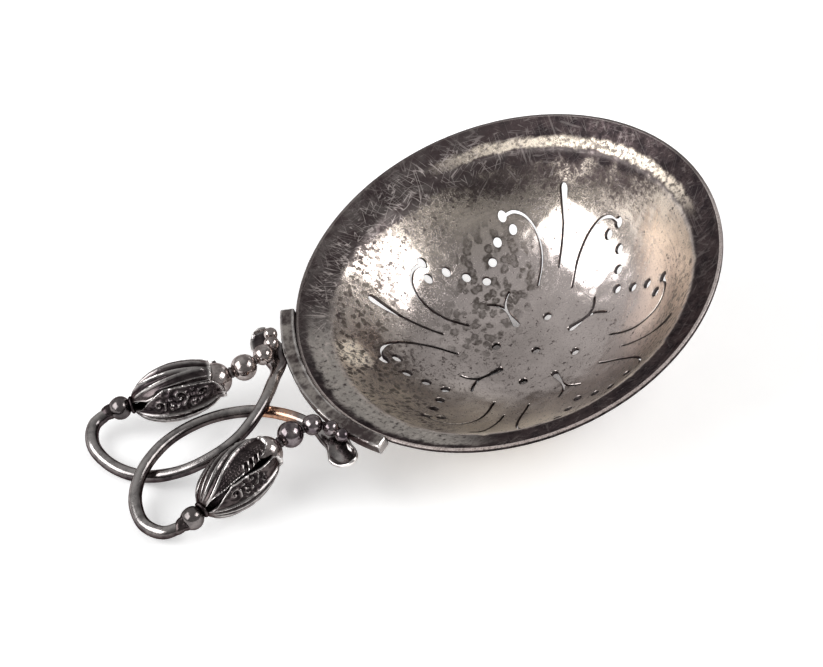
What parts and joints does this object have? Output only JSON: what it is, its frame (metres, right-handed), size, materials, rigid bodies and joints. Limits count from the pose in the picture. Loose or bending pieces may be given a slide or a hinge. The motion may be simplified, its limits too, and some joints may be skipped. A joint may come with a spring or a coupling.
{
  "type": "tea strainer",
  "caption": "Round pierced metal tea strainer bowl with an everted rim and a flat openwork handle of two twined wires carrying beads and closed flower buds.",
  "frame": {"origin": "on the table, under the middle of the strainer's footprint, with the strainer lying at rest on its bowl and its handle loops", "axes": "+Z is the table's upward normal; +X runs along the strainer from the handle towards the bowl; +Y is the left side of a hand that holds the handle. The rim plane is tilted 18.7 degrees about Y, down towards the handle."},
  "size_m": [0.116, 0.08, 0.0363],
  "materials": {
    "bowl_silver": "hammered and polished silver with a dark patina, worn bright",
    "bead_silver": "polished silver beads, slightly tarnished",
    "dark_silver": "oxidised silver, dark in the hollows and rubbed bright on the edges"
  },
  "bodies": {
    "root": {"strainer_bowl": "bowl_silver", "handle_bracket": "dark_silver", "stem_left": "dark_silver", "stem_right": "dark_silver", "tip_bead_left": "dark_silver", "tip_bead_right": "dark_silver", "petal_top_left": "dark_silver", "petal_outer_left": "dark_silver", "petal_bottom_left": "dark_silver", "petal_inner_left": "dark_silver", "petal_top_right": "dark_silver", "petal_outer_right": "dark_silver", "petal_bottom_right": "dark_silver", "petal_inner_right": "dark_silver", "bud_dome_left": "bead_silver", "bud_dome_right": "bead_silver", "bead_1_left": "bead_silver", "bead_2_left": "bead_silver", "bead_3_left": "bead_silver", "bead_4_left": "bead_silver", "bead_1_right": "bead_silver", "bead_2_right": "bead_silver", "bead_3_right": "bead_silver", "bead_4_right": "bead_silver"}
  },
  "joints": []
}
